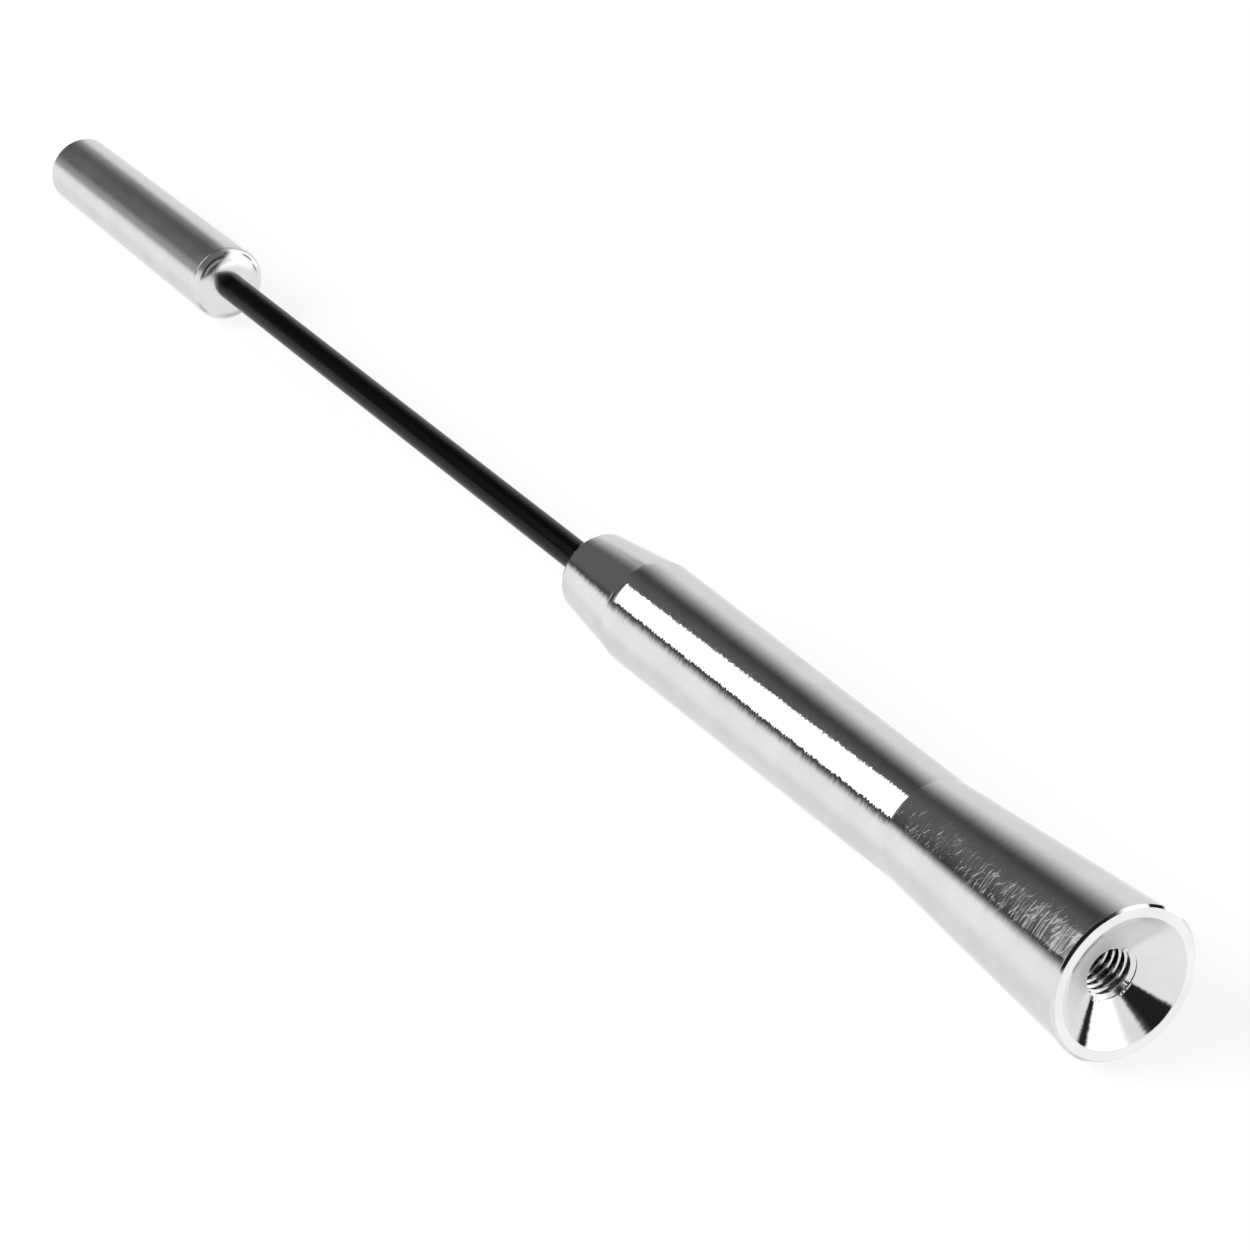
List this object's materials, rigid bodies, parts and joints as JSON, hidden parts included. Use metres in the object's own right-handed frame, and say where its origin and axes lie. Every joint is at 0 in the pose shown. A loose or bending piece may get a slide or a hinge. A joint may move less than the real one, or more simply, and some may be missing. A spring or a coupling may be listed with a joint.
{
  "type": "car mast aerial",
  "caption": "Short screw-on car aerial: turned aluminium handle with a flared, countersunk foot, thin black mast and plain aluminium tip cap.",
  "frame": {"origin": "centre of the flat ring under the foot, on the mast's axis", "axes": "+Z along the mast from the foot to the tip cap; the aerial is round about +Z, so X and Y are free"},
  "size_m": [0.014, 0.014, 0.21],
  "materials": {
    "turned_aluminium": "turned on a lathe and polished bright, with fine rings round the axis",
    "black_sleeve": "smooth satin black heat-shrink tube",
    "glass_fibre": "drawn glass-fibre rod, hidden in the mast",
    "copper_wire": "bare drawn copper wire, hidden in the mast",
    "brass": "plain turned brass, hidden in the handle"
  },
  "bodies": {
    "root": {"handle": "turned_aluminium", "tip_cap": "turned_aluminium", "mast_sleeve": "black_sleeve", "mast_core": "glass_fibre", "coil_winding": "copper_wire", "contact_ferrule": "brass"}
  },
  "joints": []
}
